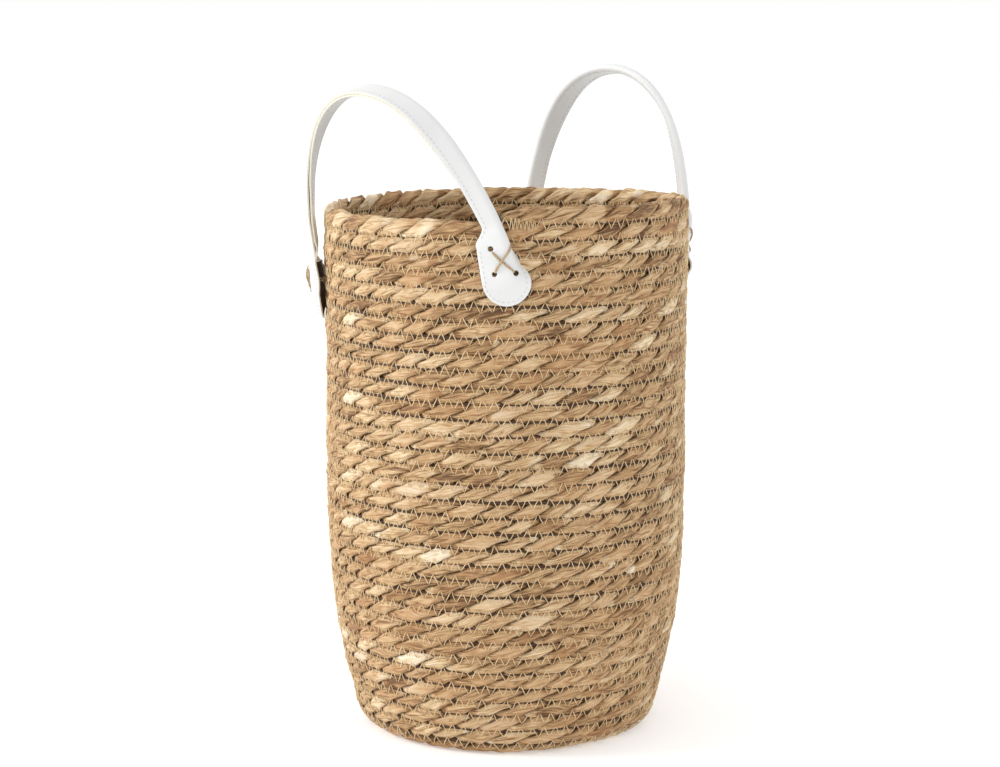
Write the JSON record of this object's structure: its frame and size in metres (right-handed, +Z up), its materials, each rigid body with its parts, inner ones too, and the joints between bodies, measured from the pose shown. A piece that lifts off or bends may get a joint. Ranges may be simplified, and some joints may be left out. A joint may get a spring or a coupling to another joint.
{
  "type": "woven laundry basket",
  "caption": "Tall round laundry basket coiled from twisted straw rope with zigzag stitching and two folded strap handles tied on with twine.",
  "frame": {"origin": "centre of the base's underside, on the floor", "axes": "+Z up; the front handle is on the -Y side and the rear handle on the +Y side; +X is to the right seen from the front"},
  "size_m": [0.32, 0.3432, 0.5812],
  "materials": {
    "straw_rope": "dry twisted straw, matte with a faint sheen along the fibres",
    "stitch_thread": "pale polyester sewing thread",
    "strap": "white coated faux leather, satin, with cream cut edges and a brown cloth back",
    "seam_thread": "off-white topstitching thread",
    "twine": "natural two-ply twine"
  },
  "bodies": {
    "basket": {"base_coil": "straw_rope", "wall_coil": "straw_rope", "rim_coil": "straw_rope", "tail_stitching": "stitch_thread", "front_left_tab": "strap", "front_left_tab_seam": "seam_thread", "front_left_tie": "twine", "front_right_tab": "strap", "front_right_tab_seam": "seam_thread", "front_right_tie": "twine", "rear_left_tab": "strap", "rear_left_tab_seam": "seam_thread", "rear_left_tie": "twine", "rear_right_tab": "strap", "rear_right_tab_seam": "seam_thread", "rear_right_tie": "twine"},
    "front_handle": {"front_handle_grip": "strap", "front_handle_grip_seam": "seam_thread"},
    "rear_handle": {"rear_handle_grip": "strap", "rear_handle_grip_seam": "seam_thread"}
  },
  "joints": [
    {"name": "front_handle_fold", "type": "hinge", "parent": "basket", "child": "front_handle", "pos_m": [0.00819, -0.15175, 0.472], "axis": [0.9961, 0.0878, 0], "range_deg": [0, 140]},
    {"name": "rear_handle_fold", "type": "hinge", "parent": "basket", "child": "rear_handle", "pos_m": [-0.01073, 0.15116, 0.472], "axis": [-0.9975, -0.0705, 0], "range_deg": [0, 140]}
  ]
}
